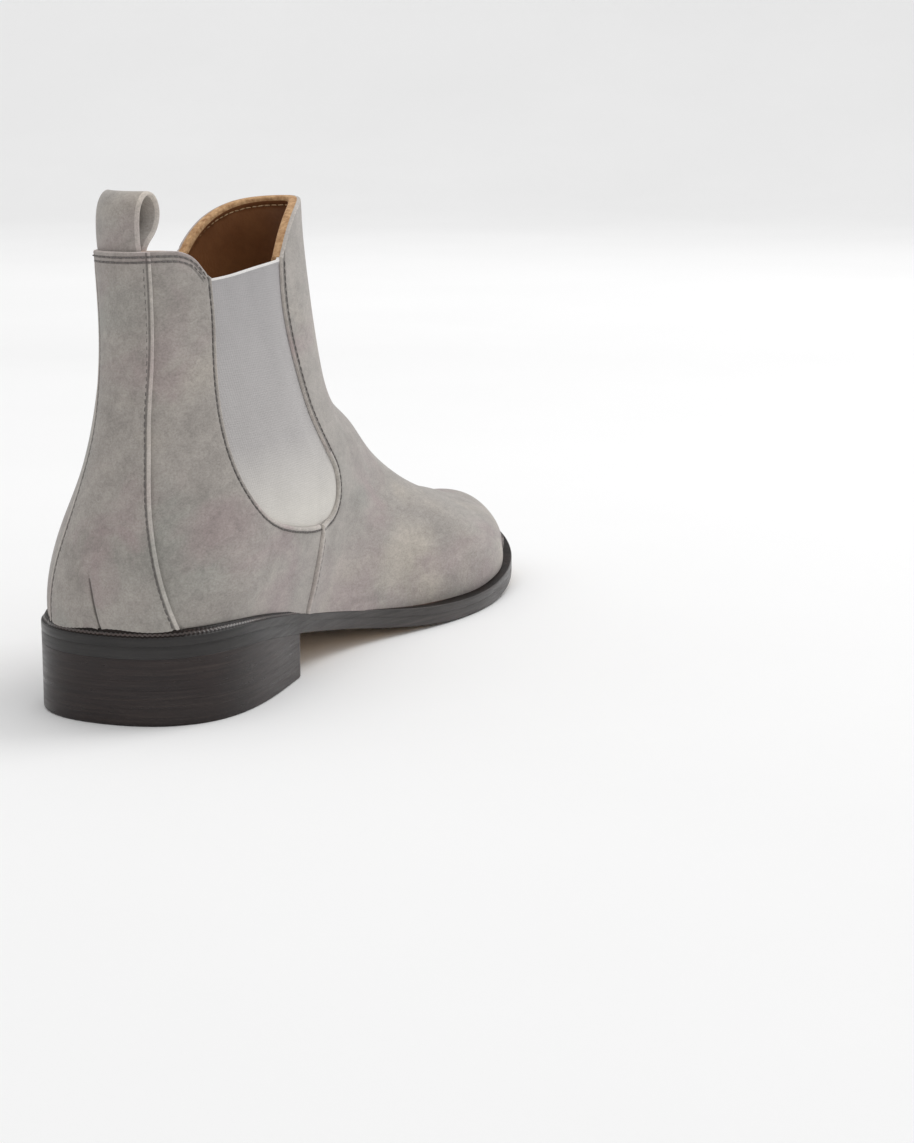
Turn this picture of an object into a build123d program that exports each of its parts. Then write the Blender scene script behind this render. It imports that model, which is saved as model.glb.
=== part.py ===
from build123d import *
import os
from math import cos, pi, sin, sqrt

# Left chelsea boot.  Sizes in millimetres.
# The sizes below are measured from the back of the heel (x = 0) and from the ground (z = 0):
# +X to the toe, +Y to the outer (lateral) side, +Z up.  On export everything moves by
# ORIGIN, which puts the frame's origin at the centre of the heel's bottom face.

# ---------------------------------------------------------------- driving sizes
LENGTH = 300.0            # sole, back of heel to toe
BREAST = 81.0             # heel's front face
HEEL_CENTRE = 40.0        # from the back of the heel to the centre of its bottom face
ORIGIN = (-HEEL_CENTRE, 0, 0)

SUEDE = 1.3               # upper leather
BACKSTAY = 1.2            # backstay suede, laid over the quarters
MIDDLE = 1.0              # elastic, puff, counter and interlining
LINING = 1.0              # lining leather
PLY_GAP = 0.15            # between the plies
SEAM_GAP = 0.2            # between panels that meet edge to edge
FIT_GAP = 0.3             # between the lining and the insole
FACE_GAP = 0.05           # between faces that bear on each other

WELT = 3.0                # thicknesses of the bottom, from the feather line down
OUTSOLE = 4.0
INSOLE = 3.2
SOCK = 1.0
PAD = 1.8
WELT_WIDTH = 13.0
PAD_INSET = 14.0          # heel pad's edge, inside the sole's edge
TOP_PIECE = 5.6           # rubber top piece under the heel
LIFT = 3.0                # one leather lift
LIFTS = 3

SHANK_WIDTH, SHANK_THICK = 13.0, 1.4
SHANK_FROM, SHANK_TO = 46.0, 150.0
SHANK_ROOM = 0.2          # round the shank in the cork
PAD_TO = 78.0             # front of the heel pad
PAD_ROOM = 0.3            # round the heel pad in the insole

NAILS, NAIL_R, NAIL_INSET = 7, 0.9, 10.5      # heel nails, in from the heel's edge
TACKS, TACK_R, TACK_INSET = 9, 1.1, 6.0       # top piece nails
NAIL_SINK = 2.0           # nail's lower end above the top piece
NAIL_TOP, NAIL_SLOPE = 19.0, 3.6              # upper ends, at the back and lower at the breast
TACK_RISE = 4.0           # top piece nail's upper end above the top piece
NAIL_RADIUS_Y = 36.0      # half width and round back of the heel at the nails
NAIL_FRONT = 9.0          # foremost nails, behind the breast
NAIL_TURN = 0.55          # share of the horseshoe that is round
NAIL_TAPER = 0.05         # narrowing of its straight legs towards the breast

LOOP_WIDTH = 18.0         # pull loop's strip
LOOP_AXIS = (22.5, 3.8, 149.4)    # middle of the line about which the loop flops
LOOP_TURN = -8.0          # degrees that this line is turned, to follow the topline
LOOP_FOOT_R = 2.0         # rounded foot of the loop about that line
LOOP_TAIL = 17.0          # depth of the sewn ends below the topline
TAIL_TOP = 146.4
LOOP_OUTSIDE = [(-1.6, 1.2), (-2.2, 6), (-0.2, 12.2), (5.8, 16.2), (11.6, 12.6), (10, 6.2),
                (1.6, 1.2)]       # side view from the axis, as (x, z)
LOOP_INSIDE = [(0.3, 3.4), (-0.5, 6.4), (1.2, 11.3), (5.8, 14.5), (9.9, 12), (8.6, 7.2),
               (1.9, 3.2)]

FAR = 400.0               # longer than the boot: the depth of cutting prisms
LOW, HIGH = -20.0, 200.0  # below and above the boot
BLOCK_HIGH = 60.0         # above all of the bottom

# ---------------------------------------------------------------- the last's shape
# One row a section.  The section's plane holds the Y axis and the line from the front ridge
# (xf, zf) to the back ridge (xb, zb).  wm and wl are the half widths on the medial and the
# lateral side, c is where the widest point lies between the ridges, and n is how square the
# back of the section is (2 is an ellipse).
SECTIONS = [
    # xf     zf     xb     zb     wm    wl    c     n
    (138.5, 166.0, 18.5, 157.0, 16.0, 26.8, 0.50, 2.0),
    (140.8, 136.0, 19.8, 125.0, 19.0, 25.8, 0.51, 2.0),
    (142.2, 114.0, 16.0, 98.5, 24.2, 24.3, 0.54, 2.1),
    (145.2, 97.0, 8.5, 73.0, 29.8, 25.0, 0.62, 2.3),
    (155.4, 86.3, 2.0, 48.6, 34.2, 31.2, 0.69, 2.5),
    (173.7, 77.0, 11.0, 16.0, 33.2, 35.4, 0.73, 2.7),
    (189.0, 65.8, 70.6, -4.0, 29.3, 33.6, 0.70, 2.2),
    (203.2, 55.4, 145.2, -12.4, 35.3, 38.6, 0.65, 2.0),
    (219.2, 46.8, 204.2, -13.3, 42.6, 41.7, 0.60, 2.0),
    (240.4, 40.8, 246.0, -9.6, 40.2, 35.3, 0.56, 2.0),
    (268.0, 34.5, 276.5, -3.6, 29.3, 20.3, 0.50, 2.0),
]
TOE_TIP = 298.0           # the upper's front, inside the welt's edge
TOE_NOSE_Z = 13.0         # height of the foremost point
TOE_DRIFT = -4.0          # how far the tip lies to the medial side
TOE_STEPS = (0.35, 0.65, 0.86, 0.97)
HALF_POINTS = 12
STEPS = 2                 # sections between two rows
LEAN_FROM, LEAN_RUN = 230.0, 60.0 # forward of this the inner plies also move back from the toe

# Side view lines, as (x, z)
FEATHER = [(-12, 28.6), (0, 28.6), (20, 29), (36, 28.4), (50, 27), (66, 24.6), (81, 22.2),
           (100, 18.9), (120, 15.5), (160, 9.2), (200, 7), (240, 8.8), (270, 13.2),
           (300, 19.5), (312, 22.8)]
TOPLINE = [(-12, 147), (30, 146.8), (38, 146), (43.6, 143.4), (47.4, 139.7), (50.4, 137),
           (60, 137.6), (75, 139), (98.5, 140.4), (102.5, 144.6), (108, 149.4), (118, 155.2),
           (128, 158.4), (142, 160), (170, 160.4)]
GORE_REAR = [(50.4, 137), (50, 126), (47.3, 114), (44, 102.5), (41.6, 92), (40.6, 82),
             (41.6, 73), (45.8, 65.5), (54, 59.5), (66, 55.2), (80, 52.2)]
GORE_FRONT = [(98.5, 140.4), (95.8, 127), (95, 112), (97.3, 98), (101.4, 87), (106.4, 78.6),
              (113, 71.2), (119, 64.4), (119.2, 57), (113, 51.8), (103, 50), (92, 50.2)]
SIDE_SEAM = [(85, -20), (87, 22), (91.4, 30), (95.8, 40), (98, 48), (90, 100), (80, 200)]
GORE_MARGIN = 6.0         # how far the elastic runs under the suede
COUNTER_EDGE = [(13, 66), (32, 56), (52, 42), (66, 24)]
PUFF_EDGE = [(262, -20), (250, 80)]
STIFF_EDGE = [(97, -20), (101, 36), (106, 40), (118, 44), (128, 54), (128, 66), (119, 80),
              (128, 96), (190, 96)]       # front panel's interlining, round the elastic

# Rear view lines of the backstay, as (y, z)
BACKSTAY_MEDIAL = [(-25, 20), (-23.4, 31), (-19.4, 46.5), (-16.4, 58), (-13.6, 70),
                   (-11.4, 83), (-9.6, 96), (-8.6, 110), (-7.8, 125), (-7, 150)]
BACKSTAY_LATERAL = [(22, 20), (21.4, 31), (19.6, 48), (16, 61), (12.6, 75), (10.2, 88),
                    (9.9, 101), (10.7, 118), (13.2, 150)]

# Plan view of the sole's edge, as (x, y), from the back of the heel round the lateral side
SOLE_LATERAL = [(0.9, 10), (4.6, 20), (14.4, 30), (36, 35.3), (60, 34.2), (81, 32),
                (110, 33.6), (140, 38), (170, 43), (200, 46.4), (230, 43.9), (260, 33.9),
                (280, 20.9), (292.5, 9.5)]
SOLE_MEDIAL = [(292.5, -17), (280, -27.7), (260, -38.3), (230, -45.7), (200, -47),
               (170, -41.9), (140, -32.6), (110, -28.8), (81, -30.7), (60, -33.7),
               (36, -35.3), (14.4, -30), (4.6, -20), (0.9, -10)]
SOLE_EDGE = [(0, 0)] + SOLE_LATERAL + [(LENGTH, -4)] + SOLE_MEDIAL


# ---------------------------------------------------------------- the last
def section_wire(front, back, medial, lateral, widest, power, shift=0.0):
    """Closed curve in the plane of the two ridges: a lateral and a medial half."""
    halves = []
    for side in (lateral, -medial):
        points = []
        for i in range(HALF_POINTS + 1):
            a = pi * i / HALF_POINTS
            if a <= pi / 2:
                along, out = widest * (1 - cos(a)), sin(a)
            else:
                along = widest + (1 - widest) * abs(cos(a)) ** (2 / power)
                out = abs(sin(a)) ** (2 / power)
            x = front[0] + (back[0] - front[0]) * along
            z = front[1] + (back[1] - front[1]) * along
            points.append(Vector(x, shift + side * out, z))
        if side < 0:
            points = points[::-1]
        steps = [i / HALF_POINTS for i in range(HALF_POINTS + 1)]
        halves.append(Edge.make_spline(points, parameters=steps))
    return Wire(halves)


def between(rows, i, t):
    """Smooth (Catmull-Rom) row between rows i and i + 1."""
    a, b, c, d = (rows[min(max(k, 0), len(rows) - 1)] for k in (i - 1, i, i + 1, i + 2))
    return [0.5 * (2 * q + (r - p) * t + (2 * p - 5 * q + 4 * r - s) * t ** 2
                   + (3 * q - p - 3 * r + s) * t ** 3) for p, q, r, s in zip(a, b, c, d)]


def last_body(inset):
    """The boot's outer shape, with every wall moved inwards by inset."""
    rows = [between(SECTIONS, i, k / STEPS) for i in range(len(SECTIONS) - 1) for k in range(STEPS)]
    rows.append(SECTIONS[-1])
    wires = []
    for xf, zf, xb, zb, wm, wl, c, n in rows:
        run = sqrt((xb - xf) ** 2 + (zb - zf) ** 2)
        ux, uz = (xb - xf) / run * inset, (zb - zf) / run * inset
        lean = inset * max(0.0, (xf - LEAN_FROM) / LEAN_RUN) ** 2
        wires.append(section_wire((xf + ux - lean, zf + uz), (xb - ux - lean, zb - uz),
                                  wm - inset, wl - inset, c, n))
    xf, zf, xb, zb, wm, wl, c, n = SECTIONS[-1]
    start = xf - inset * ((xf - LEAN_FROM) / LEAN_RUN) ** 2
    for u in TOE_STEPS:
        x = start + (TOE_TIP - inset - start) * u
        height, width = sqrt(1 - u ** 3), sqrt(1 - u)
        back_x = x + (xb - xf) * (1 - u)
        front = (x, TOE_NOSE_Z + (zf - inset - TOE_NOSE_Z) * height)
        back = (back_x, TOE_NOSE_Z - (TOE_NOSE_Z - zb - inset) * height)
        wires.append(section_wire(front, back, (wm - inset) * width, (wl - inset) * width,
                                  c, n, TOE_DRIFT * (1 - width)))
    return Solid.make_loft(wires, True)


# ---------------------------------------------------------------- cutting prisms
def side_face(*edges):
    """Closed side view outline from lists of (x, z) points, each list a smooth edge."""
    made = []
    for points in edges:
        ends = [Vector(x, 0, z) for x, z in points]
        made.append(Edge.make_line(*ends) if len(ends) == 2 else Edge.make_spline(ends))
    return Face(Wire(made))


def side_prism(*edges, y_from=-FAR / 2, y_to=FAR / 2):
    """The outline's prism between two values of y."""
    face = side_face(*edges)
    return Solid.extrude(face, Vector(0, y_to - y_from, 0)).moved(Location((0, y_from, 0)))


def band(low, high):
    """Everything between the feather line moved by low and by high."""
    lower = [(x, z + low) for x, z in FEATHER]
    upper = [(x, z + high) for x, z in FEATHER]
    return side_prism(lower, [lower[-1], upper[-1]], upper[::-1], [upper[0], lower[0]])


def polygon(points, y_from=-FAR / 2, y_to=FAR / 2):
    """Prism of a straight sided side view outline."""
    edges = [[a, b] for a, b in zip(points, points[1:] + points[:1])]
    return side_prism(*edges, y_from=y_from, y_to=y_to)


def offset_line(points, distance):
    """Open side view line moved sideways, to its left as it runs."""
    moved = []
    for i, (x, z) in enumerate(points):
        x0, z0 = points[max(i - 1, 0)]
        x1, z1 = points[min(i + 1, len(points) - 1)]
        run = sqrt((x1 - x0) ** 2 + (z1 - z0) ** 2)
        moved.append((x - (z1 - z0) / run * distance, z + (x1 - x0) / run * distance))
    return moved


def sole_face(inset):
    """Plan outline of the sole's edge, moved inwards."""
    points = []
    count = len(SOLE_EDGE)
    for i, (x, y) in enumerate(SOLE_EDGE):
        x0, y0 = SOLE_EDGE[i - 1]
        x1, y1 = SOLE_EDGE[(i + 1) % count]
        run = sqrt((x1 - x0) ** 2 + (y1 - y0) ** 2)
        points.append((x + (y0 - y1) / run * -inset, y + (x1 - x0) / run * -inset, 0))
    return Face(Wire([Edge.make_spline(points, periodic=True)]))


def sole_prism(inset, low=LOW, high=BLOCK_HIGH):
    """Prism of the sole's plan outline."""
    return Solid.extrude(sole_face(inset), Vector(0, 0, high - low)).moved(Location((0, 0, low)))


def slab(low, high, x_from=-FAR, x_to=FAR, y_from=-FAR, y_to=FAR):
    """Box between two heights, cut short where the other limits are given."""
    size = (x_to - x_from, y_to - y_from, high - low)
    return Solid.make_box(*size).moved(Location((x_from, y_from, low)))


def one(shape):
    """The result's main solid, without any sliver that a cut leaves."""
    return max(shape.solids(), key=lambda s: s.volume)


# ---------------------------------------------------------------- plies of the upper
def raised(rear, front):
    """Gore outline from its rear and front lines, carried straight up past the topline."""
    rear_top, front_top = (rear[0][0], HIGH), (front[0][0], HIGH)
    return side_prism(rear, [rear[-1], front[-1]], front[::-1], [front[0], front_top],
                      [front_top, rear_top], [rear_top, rear[0]])


def gore_opening(margin):
    """The gore's opening, larger by margin all round its cut edges."""
    if not margin:
        return raised(GORE_REAR, GORE_FRONT)
    return raised(offset_line(GORE_REAR, -margin), offset_line(GORE_FRONT, margin))


def build_upper():
    parts = {}
    bottom = [(x, z + FACE_GAP) for x, z in FEATHER]
    envelope = side_prism(bottom, [bottom[-1], TOPLINE[-1]], TOPLINE[::-1],
                          [TOPLINE[0], bottom[0]])
    plies, depth = [], 0.0
    for thickness in (SUEDE, MIDDLE, LINING):
        plies.append(envelope & (last_body(depth) - last_body(depth + thickness)))
        depth += thickness + PLY_GAP
    suede, middle, lining = plies

    half = SEAM_GAP / 2
    behind = polygon([(-FAR, LOW)] + [(x - half, z) for x, z in SIDE_SEAM] + [(-FAR, HIGH)])
    ahead = polygon([(FAR, LOW)] + [(x + half, z) for x, z in SIDE_SEAM] + [(FAR, HIGH)])
    medial = slab(LOW, HIGH, y_to=-half)
    lateral = slab(LOW, HIGH, y_from=half)
    opening = gore_opening(0)
    for name, ply in (("", suede), ("_lining", lining)):
        front, rear = (ply & ahead) - opening, (ply & behind) - opening
        parts["vamp" + name] = one(front)
        parts[f"quarter{name}_medial"] = one(rear & medial)
        parts[f"quarter{name}_lateral"] = one(rear & lateral)
    elastic = middle & gore_opening(GORE_MARGIN)
    parts["gore_medial"] = one(elastic & medial)
    parts["gore_lateral"] = one(elastic & lateral)

    around = middle - gore_opening(GORE_MARGIN + SEAM_GAP)
    counter = polygon([(-FAR, LOW), (-FAR, COUNTER_EDGE[0][1])] + COUNTER_EDGE
                      + [(COUNTER_EDGE[-1][0], LOW)])
    puff = polygon(PUFF_EDGE + [(FAR, PUFF_EDGE[-1][1]), (FAR, LOW)])
    stiff = polygon(STIFF_EDGE + [(x - SEAM_GAP, z) for x, z in PUFF_EDGE[::-1]])
    parts["heel_counter"] = one(middle & counter)
    parts["toe_puff"] = one(middle & puff)
    parts["vamp_interlining"] = one(around & stiff)
    parts["pull_loop_tail"] = one(middle & slab(
        TAIL_TOP - LOOP_TAIL, TAIL_TOP, x_to=LOOP_AXIS[0] + LOOP_WIDTH,
        y_from=LOOP_AXIS[1] - LOOP_WIDTH / 2, y_to=LOOP_AXIS[1] + LOOP_WIDTH / 2))
    parts["backstay"] = one(envelope & backstay_prism()
                            & (last_body(-BACKSTAY - FACE_GAP) - last_body(-FACE_GAP)))
    return parts


def backstay_prism():
    """Rear view outline of the backstay, extruded through the back of the boot."""
    medial, lateral = ([Vector(-FAR, y, z) for y, z in edge]
                       for edge in (BACKSTAY_MEDIAL, BACKSTAY_LATERAL))
    outline = Wire([Edge.make_spline(medial), Edge.make_line(medial[-1], lateral[-1]),
                    Edge.make_spline(lateral[::-1]), Edge.make_line(lateral[0], medial[0])])
    return Solid.extrude(Face(outline), Vector(FAR + BREAST, 0, 0))


# ---------------------------------------------------------------- bottom
def build_bottom():
    parts = {}
    parts["welt"] = one((sole_prism(0) - sole_prism(WELT_WIDTH)) & band(-WELT, 0))
    parts["outsole"] = one(sole_prism(0) & band(-WELT - OUTSOLE, -WELT - FACE_GAP))

    cork_low = -WELT + FACE_GAP
    shank_top = cork_low + SHANK_THICK
    half = SHANK_WIDTH / 2
    strip = slab(LOW, HIGH, SHANK_FROM, SHANK_TO, -half, half)
    slot = slab(LOW, HIGH, SHANK_FROM - SHANK_ROOM, SHANK_TO + SHANK_ROOM,
                -half - SHANK_ROOM, half + SHANK_ROOM)
    parts["shank"] = one(strip & band(cork_low, shank_top))
    parts["cork_filler"] = one((sole_prism(WELT_WIDTH + SHANK_ROOM) & band(cork_low, -FACE_GAP))
                               - (slot & band(LOW, shank_top + FACE_GAP)))

    inner = SUEDE + MIDDLE + LINING + 2 * PLY_GAP + FIT_GAP
    pad_top = INSOLE - FACE_GAP
    pad_zone = slab(LOW, HIGH, x_to=PAD_TO)
    pocket_zone = slab(LOW, HIGH, x_to=PAD_TO + PAD_ROOM)
    pocket = sole_prism(PAD_INSET - PAD_ROOM) & pocket_zone & band(pad_top - PAD - FACE_GAP, HIGH)
    parts["insole"] = one((last_body(inner) & band(FACE_GAP, INSOLE)) - pocket)
    parts["heel_pad"] = one(sole_prism(PAD_INSET) & pad_zone & band(pad_top - PAD, pad_top))
    parts["sock_liner"] = one(last_body(inner + FIT_GAP)
                              & band(INSOLE + FACE_GAP, INSOLE + FACE_GAP + SOCK))
    return parts


# ---------------------------------------------------------------- heel
def build_heel():
    parts = {}
    block = sole_prism(0) & slab(LOW, HIGH, x_to=BREAST)
    levels = [0.0, TOP_PIECE] + [TOP_PIECE + LIFT * (i + 1) for i in range(LIFTS)]
    names = ["heel_top_piece"] + [f"heel_lift_{i + 1}" for i in range(LIFTS)]
    for name, low, high in zip(names, levels, levels[1:]):
        parts[name] = one(block & slab(low, high))
    under = [(x, z - WELT - OUTSOLE - FACE_GAP) for x, z in FEATHER]
    below_sole = side_prism(under, [under[-1], (under[-1][0], LOW)],
                            [(under[-1][0], LOW), (under[0][0], LOW)],
                            [(under[0][0], LOW), under[0]])
    parts["heel_wedge"] = one(block & slab(levels[-1], HIGH) & below_sole)

    nails = [(x, y, TOP_PIECE + NAIL_SINK, NAIL_TOP - NAIL_SLOPE * x / BREAST, NAIL_R)
             for x, y in horseshoe(NAIL_INSET, NAILS)]
    tacks = [(x, y, 0.0, TOP_PIECE + TACK_RISE, TACK_R) for x, y in horseshoe(TACK_INSET, TACKS)]
    for name, pins in (("heel_nails", nails), ("top_piece_nails", tacks)):
        holes = [rod(x, y, low - (FACE_GAP if low else 1), high + FACE_GAP, r + FACE_GAP)
                 for x, y, low, high, r in pins]
        for node in names + ["heel_wedge"]:
            parts[node] = one(parts[node].cut(*holes))
        parts[name] = Compound([rod(*pin) for pin in pins])
    return parts


def rod(x, y, low, high, radius):
    """Upright cylinder."""
    return Solid.make_cylinder(radius, high - low, Plane((x, y, low)))


def horseshoe(inset, count):
    """Places on the horseshoe line at a distance inside the heel's edge."""
    radius = NAIL_RADIUS_Y - inset
    leg = BREAST - NAIL_FRONT - NAIL_RADIUS_Y
    places = []
    for i in range(count):
        a = -1 + 2 * i / (count - 1)
        if abs(a) > NAIL_TURN:
            x = NAIL_RADIUS_Y + (abs(a) - NAIL_TURN) / (1 - NAIL_TURN) * leg
            y = (radius - NAIL_TAPER * (x - NAIL_RADIUS_Y)) * (1 if a > 0 else -1)
        else:
            turn = a / NAIL_TURN * pi / 2
            x, y = NAIL_RADIUS_Y - radius * cos(turn), radius * sin(turn)
        places.append((x, y))
    return places


# ---------------------------------------------------------------- pull loop
def build_loop():
    half = LOOP_WIDTH / 2
    ring = side_prism(LOOP_OUTSIDE, [LOOP_OUTSIDE[-1], LOOP_OUTSIDE[0]], y_from=-half, y_to=half)
    hole = side_prism(LOOP_INSIDE, [LOOP_INSIDE[-1], LOOP_INSIDE[0]])
    foot = Solid.make_cylinder(LOOP_FOOT_R, LOOP_WIDTH, Plane((0, -half, 0), z_dir=(0, 1, 0)))
    loop = one((ring + foot) - hole)
    return {"pull_loop": loop.rotate(Axis.Z, LOOP_TURN).moved(Location(LOOP_AXIS))}


# ---------------------------------------------------------------- export
os.makedirs("parts", exist_ok=True)
nodes = {}
for build in (build_bottom, build_heel, build_loop, build_upper):
    nodes.update(build())
for name, shape in nodes.items():
    export_step(shape.moved(Location(ORIGIN)), f"parts/{name}.step")
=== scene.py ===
from math import cos, pi, radians, sin

import bpy
import numpy as np
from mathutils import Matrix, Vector


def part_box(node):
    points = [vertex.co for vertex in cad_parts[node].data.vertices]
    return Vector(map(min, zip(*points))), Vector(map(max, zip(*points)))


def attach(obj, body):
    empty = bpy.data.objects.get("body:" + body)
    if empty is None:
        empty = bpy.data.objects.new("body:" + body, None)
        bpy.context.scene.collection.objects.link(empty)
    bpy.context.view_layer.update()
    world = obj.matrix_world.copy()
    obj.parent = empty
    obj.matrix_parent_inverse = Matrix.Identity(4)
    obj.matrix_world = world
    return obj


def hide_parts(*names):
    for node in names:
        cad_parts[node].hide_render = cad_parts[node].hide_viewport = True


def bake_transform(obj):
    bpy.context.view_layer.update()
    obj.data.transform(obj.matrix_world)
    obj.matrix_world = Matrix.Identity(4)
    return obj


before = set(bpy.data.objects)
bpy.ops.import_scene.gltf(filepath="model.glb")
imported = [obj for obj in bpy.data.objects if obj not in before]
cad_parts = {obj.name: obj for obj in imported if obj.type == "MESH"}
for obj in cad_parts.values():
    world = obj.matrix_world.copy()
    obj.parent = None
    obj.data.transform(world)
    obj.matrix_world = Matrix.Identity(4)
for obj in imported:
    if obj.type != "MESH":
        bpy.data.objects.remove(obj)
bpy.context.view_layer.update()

# Sizes are in millimetres from the back of the heel (x) and the ground (z), as the boot is
# drawn; metres() takes them to the frame, whose origin is the centre of the heel's bottom face.
HEEL_CENTRE = -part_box("heel_top_piece")[0].x * 1000
MM = 0.001

# ---- the last's shape
# One row a section: front ridge x and z, back ridge x and z, half widths on the medial and
# lateral sides, place of the widest point, squareness of the back.
SECTIONS = np.array([
    (138.5, 166.0, 18.5, 157.0, 16.0, 26.8, 0.5, 2.0),
    (140.8, 136.0, 19.8, 125.0, 19.0, 25.8, 0.51, 2.0),
    (142.2, 114.0, 16.0, 98.5, 24.2, 24.3, 0.54, 2.1),
    (145.2, 97.0, 8.5, 73.0, 29.8, 25.0, 0.62, 2.3),
    (155.4, 86.3, 2.0, 48.6, 34.2, 31.2, 0.69, 2.5),
    (173.7, 77.0, 11.0, 16.0, 33.2, 35.4, 0.73, 2.7),
    (189.0, 65.8, 70.6, -4.0, 29.3, 33.6, 0.7, 2.2),
    (203.2, 55.4, 145.2, -12.4, 35.3, 38.6, 0.65, 2.0),
    (219.2, 46.8, 204.2, -13.3, 42.6, 41.7, 0.6, 2.0),
    (240.4, 40.8, 246.0, -9.6, 40.2, 35.3, 0.56, 2.0),
    (268.0, 34.5, 276.5, -3.6, 29.3, 20.3, 0.5, 2.0),
])
TOE_TIP, TOE_NOSE_Z, TOE_DRIFT, TOE_FALL = 298.0, 13.0, -4.0, 3.0
ROWS_A_SECTION, TOE_ROWS, COLUMNS = 14, 26, 264

# Side view lines (x, z)
FEATHER = [(-12, 28.6), (0, 28.6), (20, 29), (36, 28.4), (50, 27), (66, 24.6), (81, 22.2),
           (100, 18.9), (120, 15.5), (160, 9.2), (200, 7), (240, 8.8), (270, 13.2),
           (300, 19.5), (312, 22.8)]
TOP_REAR = [(-12, 147), (30, 146.8), (38, 146), (43.6, 143.4), (47.4, 139.7), (50.4, 137)]
TOP_GORE = [(50.4, 137), (60, 137.6), (75, 139), (98.5, 140.4)]
TOP_FRONT = [(98.5, 140.4), (102.5, 144.6), (108, 149.4), (118, 155.2), (128, 158.4),
             (142, 160), (170, 160.4)]
GORE = [(50.6, 146), (50.4, 137), (50, 126), (47.3, 114), (44, 102.5), (41.6, 92), (40.6, 82),
        (41.6, 73), (45.8, 65.5), (54, 59.5), (66, 55.2), (80, 52.2), (92, 50.4), (103, 50),
        (113, 51.8), (119.2, 57), (119, 64.4), (113, 71.2), (106.4, 78.6), (101.4, 87),
        (97.3, 98), (95, 112), (95.8, 127), (98.5, 140.4), (100.5, 149)]
SIDE_SEAM = [(85, -20), (87, 22), (91.4, 30), (95.8, 40), (98, 48), (90, 100), (80, 200)]
# Rear view lines of the backstay (y, z)
STAY_MEDIAL = [(-25, 20), (-23.4, 31), (-19.4, 46.5), (-16.4, 58), (-13.6, 70), (-11.4, 83),
               (-9.6, 96), (-8.6, 110), (-7.8, 125), (-7, 150), (-6.8, 157)]
STAY_LATERAL = [(22, 20), (21.4, 31), (19.6, 48), (16, 61), (12.6, 75), (10.2, 88),
                (9.9, 101), (10.7, 118), (13.2, 150), (13.6, 157)]
# Plan view of the sole's edge (x, y), from the back of the heel round the lateral side
SOLE_EDGE = [(0, 0), (0.9, 10), (4.6, 20), (14.4, 30), (36, 35.3), (60, 34.2), (81, 32),
             (110, 33.6), (140, 38), (170, 43), (200, 46.4), (230, 43.9), (260, 33.9),
             (280, 20.9), (292.5, 9.5), (300, -4), (292.5, -17), (280, -27.7),
             (260, -38.3), (230, -45.7), (200, -47), (170, -41.9), (140, -32.6),
             (110, -28.8), (81, -30.7), (60, -33.7), (36, -35.3), (14.4, -30),
             (4.6, -20), (0.9, -10)]

SUEDE, STAY, LINING_OUT, LINING_IN = 1.3, 1.2, -2.5, -3.6
GORE_OUT, GORE_IN = -1.42, -2.35
WELT, OUTSOLE, TOP_PIECE, LIFT, LIFTS, BREAST = 3.0, 4.0, 5.6, 3.0, 3, 81.0
ROLL = 0.8                # radius of a panel's rolled edge
SNAP = 0.03               # a vertex this near to a cut is on it


# ---- curves
def share(value):
    """Value held between 0 and 1."""
    return np.clip(value, 0, 1)


def natural_spline(knots, values, at):
    """Natural cubic spline through values (n x k) at knots."""
    knots, values, at = (np.asarray(a, float) for a in (knots, values, at))
    n, h = len(knots), np.diff(knots)
    a, r = np.eye(n), np.zeros_like(values)
    for i in range(1, n - 1):
        a[i, i - 1:i + 2] = h[i - 1], 2 * (h[i - 1] + h[i]), h[i]
        r[i] = 6 * ((values[i + 1] - values[i]) / h[i] - (values[i] - values[i - 1]) / h[i - 1])
    m = np.linalg.solve(a, r)
    j = np.clip(np.searchsorted(knots, at, side="right") - 1, 0, n - 2)
    hj = h[j][..., None]
    p, q = (knots[j + 1] - at)[..., None], (at - knots[j])[..., None]
    return ((m[j] * p ** 3 + m[j + 1] * q ** 3) / (6 * hj)
            + (values[j] / hj - m[j] * hj / 6) * p + (values[j + 1] / hj - m[j + 1] * hj / 6) * q)


def run_along(points):
    """Distance along a polyline to each of its points."""
    return np.r_[0, np.cumsum(np.linalg.norm(np.diff(points, axis=0), axis=1))]


def unit(vectors, least=0.0):
    return vectors / (np.linalg.norm(vectors, axis=-1, keepdims=True) + least)


def through(points, count=80):
    """Smooth open curve through points, evenly cut by its chord."""
    points = np.array(points, float)
    chord = run_along(points)
    return natural_spline(chord, points, np.linspace(0, chord[-1], count))


def resample(points, step):
    """Polyline's points at even steps along it."""
    run = run_along(points)
    at = np.arange(step / 2, run[-1], step)
    return np.stack([np.interp(at, run, points[:, k]) for k in range(points.shape[1])], 1)


FEATHER_LINE = through(FEATHER, 200)
TOP_LINE = np.vstack([through(TOP_REAR, 60), through(TOP_GORE, 30)[1:],
                      through(TOP_FRONT, 60)[1:]])
GORE_LINE = through(GORE, 170)
STAY_EDGES = through(STAY_MEDIAL), through(STAY_LATERAL)


def feather(x):
    return np.interp(x, FEATHER_LINE[:, 0], FEATHER_LINE[:, 1])


def topline(x):
    return np.interp(x, TOP_LINE[:, 0], TOP_LINE[:, 1])


def metres(points):
    return (np.asarray(points, float) - [HEEL_CENTRE, 0, 0]) * MM


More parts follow.
